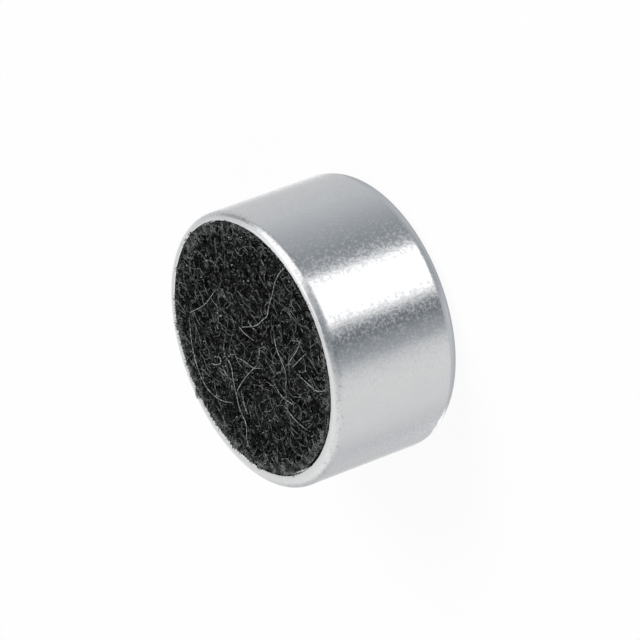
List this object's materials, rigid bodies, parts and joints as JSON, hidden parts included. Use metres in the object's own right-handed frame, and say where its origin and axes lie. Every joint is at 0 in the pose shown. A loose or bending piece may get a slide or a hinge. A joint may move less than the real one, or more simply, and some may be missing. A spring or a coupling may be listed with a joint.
{
  "type": "electret microphone capsule",
  "caption": "Round electret microphone capsule: satin aluminium can, black felt dust cloth over the sound inlet, rear edge curled over a circuit board with two solder terminals.",
  "frame": {"origin": "on the axis, in the plane of the curled rear bead that the capsule stands on", "axes": "+Z along the axis towards the dust cloth; +X from the ground terminal towards the output terminal; +Y completes the frame"},
  "size_m": [0.0098, 0.0096, 0.0052],
  "materials": {
    "can_aluminium": "satin",
    "black_felt": "fibrous",
    "tape": "matt",
    "brass": "satin",
    "metallised_film": "gloss",
    "clear_film": "gloss",
    "pale_plastic": "matt",
    "laminate": "satin",
    "copper": "satin",
    "black_moulding": "matt",
    "tinned_lead": "satin",
    "brown_ceramic": "satin",
    "solder": "bright"
  },
  "bodies": {
    "root": {"case": "can_aluminium", "dust_cloth": "black_felt", "cloth_adhesive": "tape", "polar_ring": "brass", "diaphragm": "metallised_film", "spacer": "clear_film", "electret_film": "clear_film", "back_plate": "brass", "chamber": "pale_plastic", "gate_ring": "brass", "circuit_board": "laminate", "gate_copper": "copper", "output_copper": "copper", "ground_copper": "copper", "output_pad": "copper", "ground_pad": "copper", "output_via": "copper", "ground_via": "copper", "fet_body": "black_moulding", "fet_gate_lead": "tinned_lead", "fet_drain_lead": "tinned_lead", "fet_source_lead": "tinned_lead", "filter_capacitor_body": "brown_ceramic", "filter_capacitor_ends": "tinned_lead", "bypass_capacitor_body": "brown_ceramic", "bypass_capacitor_ends": "tinned_lead", "fet_solder": "solder", "capacitor_solder": "solder", "output_solder": "solder", "ground_solder": "solder"}
  },
  "joints": []
}
